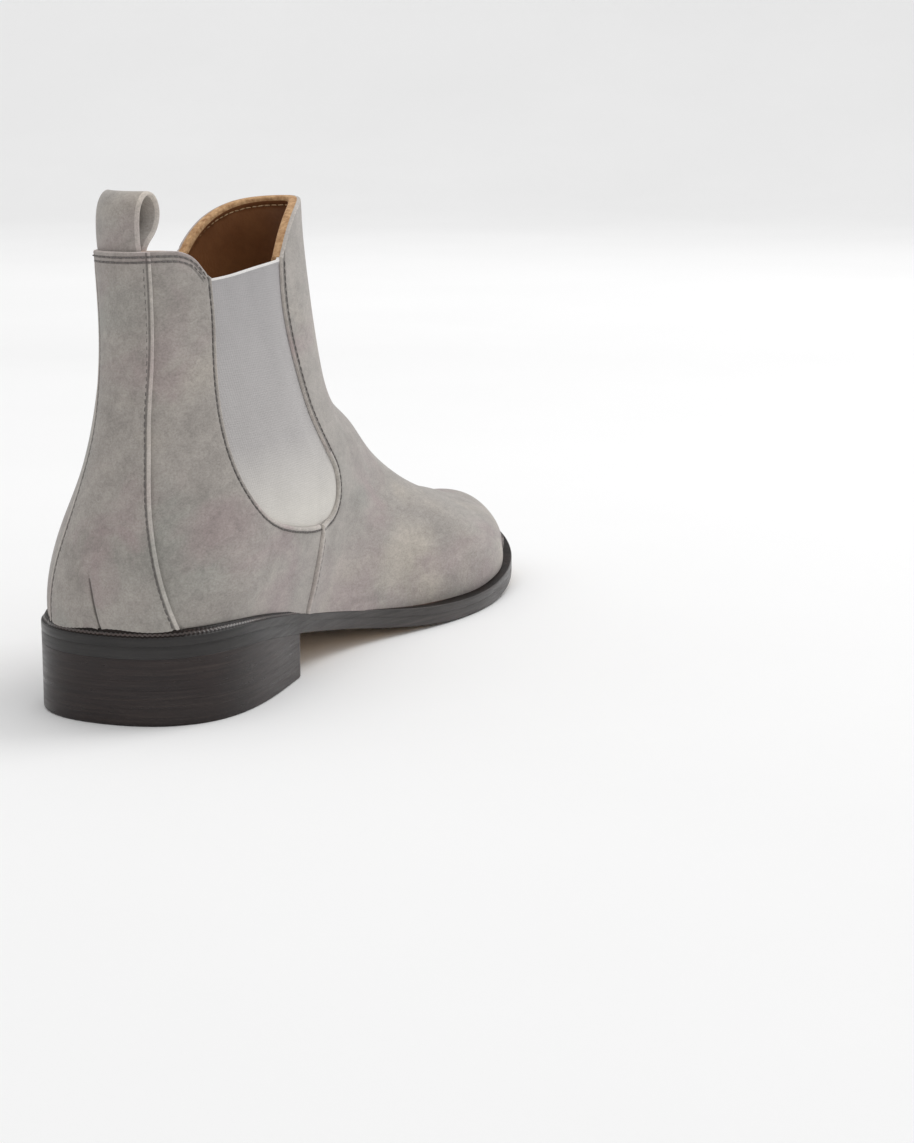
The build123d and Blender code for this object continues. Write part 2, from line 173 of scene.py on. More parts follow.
# ---- the last's surface
def section_rows(v):
    """Section values at v: 0 to 10 along the table, 10 to 11 round the toe."""
    v = np.asarray(v, float)
    main = natural_spline(np.arange(len(SECTIONS)), SECTIONS, np.clip(v, 0, 10))
    u = share(v - 10)[..., None]
    xf, zf, xb, zb, wm, wl, c, n = SECTIONS[-1]
    height, width = np.sqrt(1 - u ** 3), np.sqrt(1 - u)
    x = xf + (TOE_TIP - xf) * u
    toe = np.concatenate([x, TOE_NOSE_Z + (zf - TOE_NOSE_Z) * height - TOE_FALL * u * (1 - u),
                          x + (xb - xf) * (1 - u), TOE_NOSE_Z - (TOE_NOSE_Z - zb) * height,
                          wm * width, wl * width, c + 0 * u, n + 0 * u], -1)
    shift = TOE_DRIFT * (1 - width[..., 0])
    return np.where(u > 0, toe, main), shift


def last_point(v, phi):
    """Point of the surface: phi 0 is the front ridge, pi the back ridge, + is lateral."""
    rows, shift = section_rows(v)
    xf, zf, xb, zb, wm, wl, c, n = np.moveaxis(rows, -1, 0)
    co, si = np.cos(phi), np.sin(phi)
    power = np.where(co < 0, 2 / n, 1.0)
    side = np.where(si >= 0, wl, wm)
    y = side * np.sign(si) * np.abs(si) ** power + shift
    along = np.where(co >= 0, c * (1 - co), c + (1 - c) * np.abs(co) ** power)
    return np.stack([xf + (xb - xf) * along, y, zf + (zb - zf) * along], -1)


def last_normal(v, phi):
    """Outward unit normal, by differences."""
    d = 0.004
    along = last_point(np.minimum(v + d, 11), phi) - last_point(np.maximum(v - d, 0), phi)
    around = last_point(v, phi + d) - last_point(v, phi - d)
    return unit(np.cross(along, around), 1e-12)


GRID_V = np.r_[np.linspace(0, 10, 10 * ROWS_A_SECTION + 1),
               10 + np.sin(np.linspace(0, pi / 2, TOE_ROWS + 1)[1:-1])]
GRID_PHI = np.linspace(-pi, pi, COLUMNS, endpoint=False)
VV, PP = np.meshgrid(GRID_V, GRID_PHI, indexing="ij")
GRID = last_point(VV, PP)
GRID_N = last_normal(VV, PP)


def on_surface(targets, axes, where):
    """Surface parameters of points given by two of their coordinates."""
    flat = GRID.reshape(-1, 3)
    ids = np.flatnonzero(where(flat))
    near = flat[ids][:, axes]
    pick = ids[[np.argmin(((near - t) ** 2).sum(1)) for t in targets]]
    v, phi = VV.ravel()[pick], PP.ravel()[pick]
    d = 1e-4
    for _ in range(8):
        p = last_point(v, phi)[:, axes]
        a = (last_point(v + d, phi)[:, axes] - p) / d
        b = (last_point(v, phi + d)[:, axes] - p) / d
        r = targets - p
        det = a[:, 0] * b[:, 1] - a[:, 1] * b[:, 0]
        det = np.where(np.abs(det) < 1e-6, 1e-6, det)
        step = (r[:, 0] * b[:, 1] - r[:, 1] * b[:, 0]) / det
        v = np.clip(v + np.clip(step, -0.3, 0.3), 0, 10.98)
        phi = phi + np.clip((a[:, 0] * r[:, 1] - a[:, 1] * r[:, 0]) / det, -0.2, 0.2)
    return v, phi


def side_curve(line, side):
    """Side view line laid on one side of the surface, as (v, phi)."""
    return on_surface(np.asarray(line, float), [0, 2], lambda p: p[:, 1] * side > 2.0)


def back_curve(line):
    """Rear view line laid on the back of the surface, as (v, phi)."""
    return on_surface(np.asarray(line, float), [1, 2], lambda p: p[:, 0] < 40)


def first_past(phis, low, high, is_past):
    """The least v, for each phi, from which is_past holds for the surface's points."""
    low, high = np.full_like(phis, low), np.full_like(phis, high)
    for _ in range(40):
        mid = (low + high) / 2
        past = is_past(last_point(mid, phis))
        low, high = np.where(past, low, mid), np.where(past, mid, high)
    return (low + high) / 2


def level_curve(level, phis):
    """The line a distance below the topline, as (v, phi)."""
    return first_past(phis, 0.0, 3.0, lambda p: topline(p[:, 0]) - p[:, 2] > level), phis


def distance(points, line):
    """Least distance from each point to a polyline."""
    best = np.full(len(points), 1e9)
    for a, b in zip(line[:-1], line[1:]):
        d = b - a
        t = share((points - a) @ d / max(d @ d, 1e-9))
        best = np.minimum(best, ((points - a - t[:, None] * d) ** 2).sum(1))
    return np.sqrt(best)


def inside(points, outline):
    """Even-odd test of 2D points against a closed polyline."""
    x, z = points.T
    result = np.zeros(len(points), bool)
    for (x0, z0), (x1, z1) in zip(outline, np.roll(outline, -1, axis=0)):
        if z0 != z1:
            result ^= ((z0 > z) != (z1 > z)) & (x < (x1 - x0) * (z - z0) / (z1 - z0) + x0)
    return result


def between_edges(p, edges=STAY_EDGES):
    """Which points lie between the backstay's edges, at the back."""
    low, high = (np.interp(p[:, 2], e[:, 1], e[:, 0]) for e in edges)
    return (p[:, 1] > low) & (p[:, 1] < high) & (p[:, 0] < 60)


# Columns of a sheet's data: place and normal, then in mm: below the topline, above the feather
# line, outside the gore, ahead of the side seam, inside the backstay, and y
TOP, FEA, GORE_D, SEAM, STAYD, MID = 6, 7, 8, 9, 10, 11
CORNERS = 10              # the most corners that a cut face can have


def build_fields():
    """The upper's grid as a sheet: data for each point, and faces padded with -1."""
    p = GRID.reshape(-1, 3)
    data = np.zeros((len(p), MID + 1))
    data[:, :3], data[:, 3:6] = p, GRID_N.reshape(-1, 3)
    top_curve = last_point(*level_curve(0.0, np.linspace(-pi, pi, 241)))
    data[:, TOP] = distance(p, top_curve) * np.where(topline(p[:, 0]) > p[:, 2], 1, -1)
    data[:, FEA] = p[:, 2] - feather(p[:, 0])
    above = 260               # higher than the boot
    opening = np.vstack([GORE_LINE, [(GORE[-1][0], above), (GORE[0][0], above)]])
    is_open = inside(p[:, [0, 2]], opening)
    d = np.full(len(p), 1e9)
    for side in (1, -1):
        mine = p[:, 1] * side > 0
        d[mine] = distance(p[mine], last_point(*side_curve(GORE_LINE, side)))
    data[:, GORE_D] = d * np.where(is_open, -1, 1)
    data[:, SEAM] = p[:, 0] - seam_x(p[:, 2])
    near = np.minimum(*(distance(p, last_point(*back_curve(e))) for e in STAY_EDGES))
    data[:, STAYD] = near * np.where(between_edges(p), 1, -1)
    data[:, MID] = p[:, 1]
    rows, cols = GRID.shape[:2]
    i, j = np.meshgrid(np.arange(rows - 1), np.arange(cols), indexing="ij")
    k = (j + 1) % cols
    quads = np.stack([i * cols + j, (i + 1) * cols + j, (i + 1) * cols + k, i * cols + k], -1)
    faces = np.full((quads.size // 4, CORNERS), -1)
    faces[:, :4] = quads.reshape(-1, 4)
    return data, faces


def split(sheet, column, level, keep=0):
    """Cuts the sheet's faces where a column has a level; keep 1 or -1 drops the other side."""
    data, faces = sheet
    s = data[:, column] - level
    s[np.abs(s) < SNAP] = 0
    values = np.where(faces >= 0, s[faces], np.nan)
    low, high = np.nanmin(values, 1), np.nanmax(values, 1)
    crossed = (low < 0) & (high > 0)
    whole = ~crossed
    if keep > 0:
        whole &= high > 0
    elif keep < 0:
        whole &= low < 0
    made, fresh, pieces = {}, [], []

    def crossing(a, b):
        key = (min(a, b), max(a, b))
        if key not in made:
            t = s[a] / (s[a] - s[b])
            row = data[a] * (1 - t) + data[b] * t
            row[column] = level
            made[key] = len(data) + len(fresh)
            fresh.append(row)
        return made[key]

    for face in faces[crossed]:
        ring = [int(i) for i in face if i >= 0]
        for sign in (1, -1):
            if keep and sign != keep:
                continue
            poly = []
            for a, b in zip(ring, ring[1:] + ring[:1]):
                if s[a] * sign >= 0:
                    poly.append(a)
                if s[a] * s[b] < 0:
                    poly.append(crossing(a, b))
            if len(poly) >= 3:
                pieces.append(poly + [-1] * (CORNERS - len(poly)))
    faces = np.vstack([faces[whole]] + ([np.array(pieces)] if pieces else []))
    return (np.vstack([data] + fresh) if fresh else data), faces


def trimmed(sheet, *cuts):
    """The sheet cut in turn by (column, level, side to keep) or (column, levels to cut along),
    with only the points that its faces use."""
    for column, levels, *keep in cuts:
        for level in np.atleast_1d(levels):
            sheet = split(sheet, column, level, *keep)
    data, faces = sheet
    used = np.unique(faces[faces >= 0])
    index = np.full(len(data), -1)
    index[used] = np.arange(len(used))
    data = data[used]
    data[:, 3:6] = unit(data[:, 3:6])
    return data, np.where(faces >= 0, index[faces], -1)


# ---- materials
def material(name, colour, roughness=0.8, **sockets):
    """Principled material; sockets set directly by their names with _ for a space."""
    m = bpy.data.materials.new(name)
    m.use_nodes = True
    shader = m.node_tree.nodes["Principled BSDF"]
    shader.inputs["Base Color"].default_value = (*colour, 1)
    shader.inputs["Roughness"].default_value = roughness
    for key, value in sockets.items():
        shader.inputs[key.replace("_", " ")].default_value = value
    return m


def node(m, kind, **settings):
    made = m.node_tree.nodes.new(kind)
    for key, value in settings.items():
        if key in made.inputs:
            made.inputs[key].default_value = value
        else:
            setattr(made, key, value)
    return made


def link(m, a, b):
    m.node_tree.links.new(a, b)


def stretched(m, scale=(1, 1, 1)):
    """Object coordinates in metres times a scale for each axis."""
    place = node(m, "ShaderNodeTexCoord")
    mapping = node(m, "ShaderNodeMapping")
    mapping.inputs["Scale"].default_value = scale
    link(m, place.outputs["Object"], mapping.inputs["Vector"])
    return mapping.outputs["Vector"]


def noise(m, scale, detail=4.0, roughness=0.55, stretch=(1, 1, 1), distortion=0.0):
    made = node(m, "ShaderNodeTexNoise", Scale=scale, Detail=detail, Roughness=roughness,
                Distortion=distortion)
    link(m, stretched(m, stretch), made.inputs["Vector"])
    return made.outputs["Fac"]


def ramp(m, value, stops):
    """Colour ramp from (place, colour) stops; a number is a grey."""
    made = node(m, "ShaderNodeValToRGB")
    link(m, value, made.inputs["Fac"])
    elements = made.color_ramp.elements
    while len(elements) < len(stops):
        elements.new(0.5)
    for element, (place, colour) in zip(elements, stops):
        element.position = place
        element.color = (*np.broadcast_to(colour, 3), 1)
    return made.outputs["Color"]


def mixed(m, factor, a, b, mode="MIX"):
    made = node(m, "ShaderNodeMix", data_type="RGBA", blend_type=mode)
    for socket, value in ((made.inputs[0], factor), (made.inputs[6], a), (made.inputs[7], b)):
        if isinstance(value, (int, float)):
            socket.default_value = value
        elif isinstance(value, tuple):
            socket.default_value = (*value, 1)
        else:
            link(m, value, socket)
    return made.outputs[2]


def layered(m, colour, *layers):
    """Colour times each layer."""
    for layer in layers:
        colour = mixed(m, 1.0, colour, layer, "MULTIPLY")
    return colour


def finish_with(m, colour, heights, roughness=None):
    """Links the colour, the roughness and a chain of bumps: (height, distance in m, strength)."""
    shader = m.node_tree.nodes["Principled BSDF"]
    link(m, colour, shader.inputs["Base Color"])
    if roughness is not None:
        link(m, roughness, shader.inputs["Roughness"])
    normal = None
    for value, depth, strength in heights:
        bump = node(m, "ShaderNodeBump", Distance=depth, Strength=strength)
        link(m, value, bump.inputs["Height"])
        if normal is not None:
            link(m, normal, bump.inputs["Normal"])
        normal = bump.outputs["Normal"]
    link(m, normal, shader.inputs["Normal"])
    return m


# Beige, middle, pink and cool
SUEDE_TONES = np.array([(0.425, 0.384, 0.336), (0.35, 0.322, 0.296), (0.335, 0.284, 0.272),
                        (0.305, 0.296, 0.271)])


def suede_material(name, factor=1.0, nap=1.0):
    """Grey suede: broad warm, pink and cool patches, finer mottling, and the nap."""
    beige, mid, pink, cool = (tuple(tone) for tone in (SUEDE_TONES * factor).tolist())
    m = material(name, mid, 0.95, Sheen_Weight=0.3, Sheen_Roughness=0.5, Specular_IOR_Level=0.1)
    broad = ramp(m, noise(m, 23, 2, 0.5, (0.5, 1, 0.9), 0.5),
                 [(0.3, cool), (0.44, mid), (0.56, mid), (0.7, beige)])
    blush = ramp(m, noise(m, 31, 3, 0.55, (0.5, 1.3, 1), 0.7), [(0.5, 0), (0.66, 1)])
    colour = mixed(m, blush, broad, pink)
    cloud = ramp(m, noise(m, 90, 4, 0.6, (0.45, 1, 1), 0.5),
                 [(0.3, 0.85), (0.5, 1.0), (0.72, 1.12)])
    strokes = ramp(m, noise(m, 300, 4, 0.65, (0.45, 1, 0.9), 1.2),
                   [(0.3, 0.88), (0.5, 1.0), (0.72, 1.12)])
    grain = ramp(m, noise(m, 1700, 3, 0.7, (0.5, 1, 1)),
                 [(0.3, 0.84), (0.5, 1.0), (0.72, 1.14)])
    return finish_with(m, layered(m, colour, cloud, strokes, grain),
                       [(noise(m, 1500, 4, 0.75), 0.00022 * nap, 0.6),
                        (noise(m, 280, 4, 0.6, distortion=0.8), 0.00035 * nap, 0.3)])


def leather_edge(name, dark, mid, light, rough, level, heel=None):
    """Dyed and waxed edge: fine streaks along it, uneven gloss, darker round the heel, with the
    lighter tone forward of it a painted reflection.
    """
    m = material(name, mid, rough, Specular_IOR_Level=level)
    streaks = noise(m, 26, 7, 0.7, (1, 1, 34), 0.25)
    tone = ramp(m, streaks, [(0.32, dark), (0.52, mid), (0.74, light)])
    blotch = ramp(m, noise(m, 55, 4, 0.6), [(0.3, 0.8), (0.7, 1.25)])
    # Painted reflection: where a heel tone is given, the edge is left lighter forward of the heel
    # and keeps the darker tone at it.
    if heel is not None:
        along = node(m, "ShaderNodeSeparateXYZ")
        link(m, stretched(m, (4, 1, 1)), along.inputs["Vector"])
        painted_reflection_forward = ramp(m, along.outputs["X"], [(0.14, heel), (0.3, 1.0)])
        blotch = layered(m, blotch, painted_reflection_forward)
    gloss = ramp(m, noise(m, 60, 5, 0.6, (1, 1, 12)),
                 [(0.3, rough - 0.08), (0.75, rough + 0.14)])
    return finish_with(m, layered(m, tone, blotch),
                       [(streaks, 0.0003, 0.3), (noise(m, 800, 3), 0.00008, 0.35)], gloss)


def elastic_material():
    """Fine woven elastic: narrow upright ribs crossed by finer picks, painted lighter towards its
    foot where light falls on it.
    """
    m = material("elastic", (0.42, 0.41, 0.41), 0.8, Sheen_Weight=0.1, Specular_IOR_Level=0.25)
    rib = node(m, "ShaderNodeTexWave", wave_type="BANDS", bands_direction="X", Scale=300.0,
               Distortion=0.5, Detail=2.0)
    link(m, stretched(m, (1, 1, 0.12)), rib.inputs["Vector"])
    pick = node(m, "ShaderNodeTexWave", wave_type="BANDS", bands_direction="Z", Scale=420.0,
                Distortion=0.7, Detail=2.0)
    link(m, stretched(m), pick.inputs["Vector"])
    # Painted light: the colour is lighter towards the gore's foot, which faces up to the light,
    # and darker higher up.
    height = node(m, "ShaderNodeSeparateXYZ")
    link(m, stretched(m, (1, 1, 7)), height.inputs["Vector"])
    tone = ramp(m, height.outputs["Z"],
                [(0.4, (0.66, 0.635, 0.59)), (0.58, (0.44, 0.422, 0.415)),
                 (0.97, (0.385, 0.372, 0.375))])
    soft = ramp(m, noise(m, 70, 3, 0.5, (1, 1, 0.6)), [(0.35, 0.96), (0.65, 1.04)])
    weave = ramp(m, rib.outputs["Fac"], [(0.2, 0.98), (0.8, 1.02)])
    speck = ramp(m, noise(m, 2400, 2, 0.6), [(0.3, 0.92), (0.7, 1.06)])
    return finish_with(m, layered(m, tone, soft, weave, speck),
                       [(rib.outputs["Fac"], 0.00005, 0.4), (pick.outputs["Fac"], 0.00007, 0.4)])


def grainy(name, dark, light, scale, rough, bump, **sockets):
    """Two colours in a fine even grain."""
    m = material(name, dark, rough, **sockets)
    tone = ramp(m, noise(m, scale, 4), [(0.3, dark), (0.7, light)])
    return finish_with(m, tone, [(noise(m, scale * 2.5, 3), bump, 0.5)])


def lining_material():
    """Brown glazed leather with a fine pebble."""
    m = material("lining_leather", (0.22, 0.09, 0.035), 0.45, Specular_IOR_Level=0.35)
    tone = ramp(m, noise(m, 40, 5, 0.6),
                [(0.3, (0.165, 0.062, 0.022)), (0.7, (0.29, 0.125, 0.048))])
    grain = node(m, "ShaderNodeTexVoronoi", Scale=1000.0)
    link(m, stretched(m), grain.inputs["Vector"])
    return finish_with(m, tone, [(grain.outputs["Distance"], 0.0001, 0.5),
                                 (noise(m, 170, 3), 0.0003, 0.3)])


def make_materials():
    made = {"suede": suede_material("suede"),
            "raw_edge": suede_material("suede_raw_edge", 1.42, 1.5),
            # The suede darkened to 0.6 is painted shade, laid along stitch rows, the dart, the
            # gore's edge and the quarter behind the vamp's edge.
            "crease_shade": suede_material("suede_crease_shade", 0.6), "elastic": elastic_material(),
            "lining": lining_material()}
    # key, name, dark, middle and light streaks, roughness, specular level, tone at the heel
    edges = [
        ("espresso", "espresso_edge", (0.007, 0.003, 0.003), (0.015, 0.008, 0.007),
         (0.034, 0.023, 0.019), 0.32, 0.42, None),
        ("welt", "welt_ledge", (0.003, 0.0018, 0.0015), (0.007, 0.004, 0.003),
         (0.02, 0.009, 0.006), 0.34, 0.22, None),
        # Lighter forward of the heel: painted reflection.
        ("welt_band", "welt_band", (0.02, 0.009, 0.006), (0.045, 0.02, 0.013),
         (0.1, 0.05, 0.034), 0.17, 0.9, 0.7),
        # Greyer than the heel's espresso and lighter forward of the heel: painted reflection on a
        # dark dyed edge.
        ("edge", "outsole_edge_and_painted_reflection", (0.022, 0.018, 0.017), (0.04, 0.034, 0.032),
         (0.075, 0.062, 0.057), 0.36, 0.5, 0.32),
    ]
    for key, *values in edges:
        made[key] = leather_edge(*values)
    # key, name, dark and light tones, grain's scale, roughness, depth of the bump
    table = [
        ("cut_leather", "cut_leather", (0.34, 0.17, 0.07), (0.66, 0.42, 0.22), 700, 0.85, 4e-4),
        ("sole", "sole_leather", (0.5, 0.33, 0.18), (0.68, 0.49, 0.31), 90, 0.6, 2e-4),
        ("thread", "thread_dark", (0.085, 0.078, 0.073), (0.19, 0.175, 0.165), 2600, 0.7, 8e-5),
        ("pale_thread", "thread_pale", (0.3, 0.27, 0.26), (0.46, 0.42, 0.4), 2600, 0.7, 8e-5),
        ("tan_thread", "thread_tan", (0.5, 0.32, 0.17), (0.7, 0.5, 0.3), 2600, 0.7, 8e-5),
        ("white_thread", "thread_white", (0.66, 0.64, 0.62), (0.82, 0.8, 0.78), 2600, 0.7, 8e-5),
        ("stiffener", "pressed_fibre", (0.62, 0.55, 0.44), (0.78, 0.71, 0.6), 500, 0.9, 2e-4),
        ("insole", "insole_leather", (0.5, 0.35, 0.22), (0.64, 0.48, 0.33), 300, 0.75, 2e-4),
        ("sock", "sock_leather", (0.17, 0.065, 0.025), (0.27, 0.115, 0.045), 260, 0.5, 2e-4),
        ("foam", "latex_foam", (0.7, 0.67, 0.6), (0.8, 0.78, 0.72), 1200, 0.95, 4e-4),
        ("cork", "cork", (0.36, 0.22, 0.12), (0.6, 0.43, 0.27), 420, 0.9, 4e-4),
    ]
    for key, *values in table:
        made[key] = grainy(*values)
    for key, dark, light in (("steel", (0.3, 0.31, 0.34), (0.42, 0.43, 0.46)),
                             ("nail", (0.45, 0.43, 0.4), (0.62, 0.6, 0.56))):
        made[key] = grainy(key + "_metal", dark, light, 600, 0.32, 3e-5, Metallic=1.0)
    return made


MATERIALS = make_materials()


# ---- making objects
def link_object(name, data):
    made = bpy.data.objects.new(name, data)
    bpy.context.scene.collection.objects.link(made)
    return made


def add_object(name, points, faces, materials, body="boot", replaced=(), slot=None,
               indices=None, sharp=50):
    """Mesh object from points in mm, riding on a body if one is named."""
    mesh = bpy.data.meshes.new(name)
    mesh.from_pydata(metres(points).tolist(), [], faces)
    for key in materials:
        mesh.materials.append(MATERIALS[key])
    if indices is not None:
        mesh.polygons.foreach_set("material_index", np.asarray(indices, np.int32))
    mesh.validate()
    mesh.shade_smooth()
    mesh.set_sharp_from_angle(angle=radians(sharp))
    mesh.update()
    made = link_object(name, mesh)
    if body:
        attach(made, body)
    if replaced:
        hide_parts(*replaced)
    return made


def ring_faces(count, rings):
    """Quads between rings of points, each ring joined to the next."""
    faces = []
    for r in range(rings - 1):
        for i in range(count):
            j = (i + 1) % count
            faces.append([r * count + j, (r + 1) * count + j, (r + 1) * count + i, r * count + i])
    return faces


def end_faces(count, rings):
    """Faces that close the first and the last ring, wound as ring_faces are."""
    last = (rings - 1) * count
    return [list(range(count - 1, -1, -1)), list(range(last, last + count))]


def rolled(d, radius=ROLL, depth=0.75):
    """How far a panel's face drops at a distance from its edge."""
    t = share(1 - d / radius)
    return depth * (1 - np.sqrt(share(1 - t ** 2)))


def painted(faces, bands):
    """Material index for each face, from (a value for each point, low, high, index)."""
    indices = np.zeros(len(faces), int)
    for values, low, high, index in bands:
        mean = np.nanmean(np.where(faces >= 0, values[faces], np.nan), 1)
        indices[(mean > low) & (mean < high)] = index
    return indices.tolist()


def panel(name, sheet, outer, inner, materials, bands=(), back_bands=(), rim=1, **options):
    """Closed thin solid: the sheet moved out by outer and in by inner, with a rim."""
    data, faces = sheet
    n = len(data)
    place, normal = data[:, :3], data[:, 3:6]
    points = np.vstack([place + normal * np.reshape(outer, (-1, 1)),
                        place + normal * np.reshape(inner, (-1, 1))])
    rings = [[int(i) for i in f if i >= 0] for f in faces]
    directed = {(a, b) for ring in rings for a, b in zip(ring, ring[1:] + ring[:1])}
    sides = [[b, a, a + n, b + n] for a, b in sorted(directed) if (b, a) not in directed]
    back = [[i + n for i in ring[::-1]] for ring in rings]
    indices = painted(faces, bands) + painted(faces, back_bands) + [rim] * len(sides)
    return add_object(name, points, rings + back + sides, materials, indices=indices, **options)


def hump(d, width):
    """Smooth rise to 1 at d = 0."""
    return np.exp(-(d / width) ** 2)


def groove(d, place, depth=0.3, width=0.55):
    """Dent that a stitch row pulls into the suede."""
    return -depth * hump(d - place, width)


def soft_waves(p, size=0.25):
    """Slight unevenness of the lasted suede."""
    x, y, z = p.T
    return size * (np.sin(x / 9.0 + y / 13.0) * np.sin(z / 11.0 - x / 17.0)
                   + 0.6 * np.sin(y / 6.0 + z / 7.5 + 1.3) * np.sin(x / 8.0 + 0.7))


PITCH, STITCH = 2.4, 2.1  # a stitch row's pitch, and a stitch's length
# Places along a stitch (a share of its length), with its thickness and height there in radii
STITCH_SHAPE = [(-0.5, 0.35, -0.9), (-0.42, 0.85, -0.35), (-0.2, 1.0, 0.25), (0.2, 1.0, 0.25),
                (0.42, 0.85, -0.35), (0.5, 0.35, -0.9)]
STITCH_SIDES = 6
STITCH_FACES = (ring_faces(STITCH_SIDES, len(STITCH_SHAPE))
                + end_faces(STITCH_SIDES, len(STITCH_SHAPE)))


def stitch_row(name, places, normals, lift, thread="thread", radius=0.26):
    """Row of separate stitches along a curve, each a short thread whose ends dive in."""
    run = resample(np.hstack([places + normals * np.reshape(lift, (-1, 1)), normals]), PITCH)
    points, faces = [], []
    for i in range(len(run)):
        here, up = run[i, :3], unit(run[i, 3:])
        ahead = unit(run[min(i + 1, len(run) - 1), :3] - run[max(i - 1, 0), :3])
        side = np.cross(up, ahead)
        base = len(points)
        reach, lean = STITCH * (1 + 0.12 * sin(2.3 * i)), 0.1 * sin(4.1 * i + 1)
        for along, size, height in STITCH_SHAPE:
            middle = here + (ahead + side * lean) * along * reach + up * height * radius
            for k in range(STITCH_SIDES):
                a = 2 * pi / STITCH_SIDES * k
                points.append(middle + (side * cos(a) + up * sin(a)) * size * radius)
        faces += [[base + k for k in face] for face in STITCH_FACES]
    return add_object(name, points, faces, [thread], sharp=80)


def row_on(name, curve, lift, **options):
    """Stitch row along a (v, phi) curve of the last's surface."""
    v, phi = curve
    return stitch_row(name, last_point(v, phi), last_normal(v, phi), lift, **options)


# ---- suede panels
EDGE_LEVELS = [0.12, 0.3, 0.55, 0.85]
STITCH_IN = 1.75          # stitch row to the panel's edge
CREASE_SHADE = 0.42             # half width of the painted shade, a darker suede, in the crease that it lies in
ROW_LEVELS = [STITCH_IN - CREASE_SHADE, STITCH_IN, STITCH_IN + CREASE_SHADE, STITCH_IN + 1.3]
TOP_ROWS = (1.7, 3.3)     # two rows below the rear topline
# Half width of the painted shade, a darker suede, along the two top rows
TOP_CREASE_SHADE = 0.35
TOP_ROW_LEVELS = [row + d for row in TOP_ROWS for d in (-0.4, 0.4)]
SEAM_ROW = 2.1            # stitch row ahead of the side seam
STAY_ROW = 1.65           # stitch row inside the backstay's edge
LAP = 5.0                 # how far the quarter runs on below the vamp
LAP_TOP = 60.0            # the side seam is below this, and the vamp has left the quarter above
RAW_FOOT = {"vamp": 74.0, "quarter": 66.0}   # below these the gore's edge is pale to the stitches
RAW = 1.33                # width of that pale edge
FAR = 99.0                # a distance that no band reaches
SIDE_NAMES = {1: "lateral", -1: "medial"}
# The third suede is darker: painted shade.
SUEDES = ["suede", "raw_edge", "crease_shade"]
DART_FOOT, DART_TOP, DART_LEAN = 30.0, 50.0, 0.2


def whole_upper():
    sheet = split(build_fields(), FEA, -0.3, 1)
    return split(sheet, TOP, 0.0, 1)


def row_bands(d, raw=0.5, place=STITCH_IN, width=CREASE_SHADE):
    """Pale raw edge, and painted shade, a darker suede, in the crease that a stitch row lies in.
    """
    return [(d, -1.0, raw, 1), (d, place - width, place + width, 2)]


def vamp_rise(d):
    """The vamp lies over the quarter at the side seam and sinks level away from it."""
    t = share(d / 9.0)
    return 1.1 * (1 - t * t * (3 - 2 * t))


def offset_line(line, distance):
    """Open 2D line moved to its left as it runs."""
    d = unit(np.gradient(line, axis=0))
    return line + np.stack([-d[:, 1], d[:, 0]], 1) * distance


def seam_x(z):
    x, heights = np.transpose(SIDE_SEAM)
    return np.interp(z, heights, x)


def gore_row(front):
    """The stitch row's side view line outside the gore, ahead of the side seam or behind it."""
    line = offset_line(GORE_LINE, -STITCH_IN)
    seam_end, middle, low = 99.6, 75, line[:, 1] < 70
    ahead = line[:, 0] > np.where(low, seam_end, middle)
    top = 140 if front else 135.5
    return line[(ahead == front) & (line[:, 1] < top)]


def add_vamp(upper):
    """Front panel, which laps over the quarters at the side seams."""
    sheet = trimmed(upper, (GORE_D, 0.0, 1), (SEAM, 0.0, 1),
                    (GORE_D, EDGE_LEVELS + ROW_LEVELS + [STITCH_IN + 0.6]),
                    (TOP, EDGE_LEVELS + [1.6]), (SEAM, EDGE_LEVELS + [1.5, SEAM_ROW, 3.0, 5.0]))
    data = sheet[0]
    z, gore, top = data[:, 2], data[:, GORE_D], data[:, TOP]
    seam = np.where(z < LAP_TOP, data[:, SEAM], FAR)
    edge = np.minimum(np.minimum(gore, top), seam)
    outer = (soft_waves(data[:, :3]) * share(edge / 10) - rolled(edge)
             + vamp_rise(seam) * share((LAP_TOP - z) / 12)
             + groove(gore, STITCH_IN) + groove(seam, SEAM_ROW, 0.12))
    inner = np.minimum(outer - 0.5, -SUEDE + vamp_rise(seam) * 0.9 * (z < LAP_TOP))
    foot = np.where(z < RAW_FOOT["vamp"], gore, FAR)
    # Painted shade: darker suede from 0.35 mm off the gore's edge to past its stitch row.
    bands = [(gore, -1, 0.35, 1), (gore, 0.35, STITCH_IN + 0.6, 2)]
    bands += [(foot, -1, RAW, 1), (seam, -1, 0.85, 1), (top, -1, 0.5, 1)]
    panel("vamp_suede", sheet, outer, inner, SUEDES, bands, replaced=["vamp"], slot="suede")
    for side, name in SIDE_NAMES.items():
        row_on(f"stitches_gore_front_{name}", side_curve(gore_row(True), side), -0.12)
        seam_row = [(seam_x(height) + SEAM_ROW, height) for height in np.arange(25.5, 46, 0.5)]
        row_on(f"stitches_side_seam_{name}", side_curve(seam_row, side), 0.9,
               thread="pale_thread", radius=0.2)


